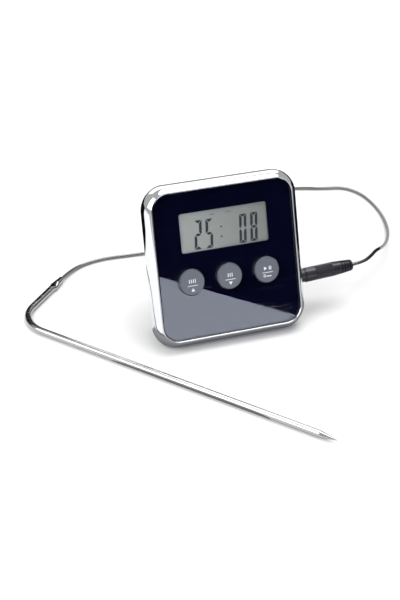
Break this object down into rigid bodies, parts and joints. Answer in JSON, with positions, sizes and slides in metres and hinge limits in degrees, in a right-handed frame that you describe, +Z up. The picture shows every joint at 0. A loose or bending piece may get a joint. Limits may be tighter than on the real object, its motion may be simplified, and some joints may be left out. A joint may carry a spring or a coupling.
{
  "type": "roasting probe thermometer",
  "caption": "Square digital timer-thermometer leaning on a fold-out stand, with a bent steel probe on a braided lead that plugs into its side.",
  "frame": {"origin": "middle of the flat on the underside of the case, on the table", "axes": "+X viewer's right, +Y away from the viewer, +Z up; the face leans back 25 degrees from vertical towards +Y"},
  "size_m": [0.19, 0.1862, 0.065],
  "materials": {
    "chromed_rim": "mirror bright plating",
    "clear_panel": "clear, polished",
    "black_print": "back-printed gloss black",
    "display_grey": "reflective liquid-crystal cell",
    "black_plastic": "fine matt",
    "contact_rubber": "matt",
    "circuit_board": "solder mask",
    "black_epoxy": "satin",
    "components": "matt",
    "switch_metal": "satin",
    "brass": "satin",
    "nickel": "bright",
    "case_plastic": "fine spark-eroded texture",
    "battery_jacket": "satin",
    "magnet_nickel": "bright plating",
    "screw_steel": "satin",
    "plug_rubber": "satin moulding",
    "braided_steel": "braid",
    "tie_plastic": "satin",
    "probe_steel": "polished stainless steel",
    "wire_insulation": "satin",
    "button_grey": "translucent grey, satin",
    "plunger_plastic": "satin"
  },
  "bodies": {
    "case": {"front_frame": "chromed_rim", "front_panel": "clear_panel", "panel_mask": "black_print", "lcd_glass": "display_grey", "lcd_holder": "black_plastic", "zebra_strip": "contact_rubber", "circuit_board": "circuit_board", "chip_cover": "black_epoxy", "board_components": "components", "switch_bodies": "switch_metal", "buzzer_disc": "brass", "jack_socket": "black_plastic", "jack_contacts": "nickel", "rear_cover": "case_plastic", "battery": "battery_jacket", "battery_plate": "nickel", "battery_spring": "nickel", "hinge_pin": "nickel", "magnets": "magnet_nickel", "case_screws": "screw_steel"},
    "stand": {"stand": "case_plastic"},
    "battery_door": {"battery_door": "case_plastic"},
    "button_left": {"button_left": "button_grey", "plunger_left": "plunger_plastic"},
    "button_middle": {"button_middle": "button_grey", "plunger_middle": "plunger_plastic"},
    "button_right": {"button_right": "button_grey", "plunger_right": "plunger_plastic"},
    "lead": {"plug_body": "plug_rubber", "plug_sleeve": "nickel", "plug_insulator": "black_plastic", "plug_tip": "nickel", "cord_plug_side": "braided_steel", "cord_coil": "braided_steel", "cord_probe_side": "braided_steel", "coil_tie": "tie_plastic", "probe_tube": "probe_steel", "probe_tip": "probe_steel", "thermistor": "black_epoxy", "probe_wires": "wire_insulation"}
  },
  "joints": [
    {"name": "stand_hinge", "type": "hinge", "parent": "case", "child": "stand", "pos_m": [0.0019, 0.02749, 0.04417], "axis": [1, 0, 0], "range_deg": [-38, 0]},
    {"name": "battery_door_slide", "type": "slide", "parent": "case", "child": "battery_door", "axis": [0, 0.4226, 0.9063], "range_m": [0, 0.052]},
    {"name": "button_left_press", "type": "slide", "parent": "case", "child": "button_left", "axis": [0, 0.9063, -0.4226], "range_m": [0, 0.0004], "stiffness_N_per_m": 400, "springref_m": -0.0008},
    {"name": "button_middle_press", "type": "slide", "parent": "case", "child": "button_middle", "axis": [0, 0.9063, -0.4226], "range_m": [0, 0.0004], "stiffness_N_per_m": 400, "springref_m": -0.0008},
    {"name": "button_right_press", "type": "slide", "parent": "case", "child": "button_right", "axis": [0, 0.9063, -0.4226], "range_m": [0, 0.0004], "stiffness_N_per_m": 400, "springref_m": -0.0008},
    {"name": "plug_pull", "type": "slide", "parent": "case", "child": "lead", "axis": [0.999, 0.0192, 0.0411], "range_m": [0, 0.016]}
  ]
}
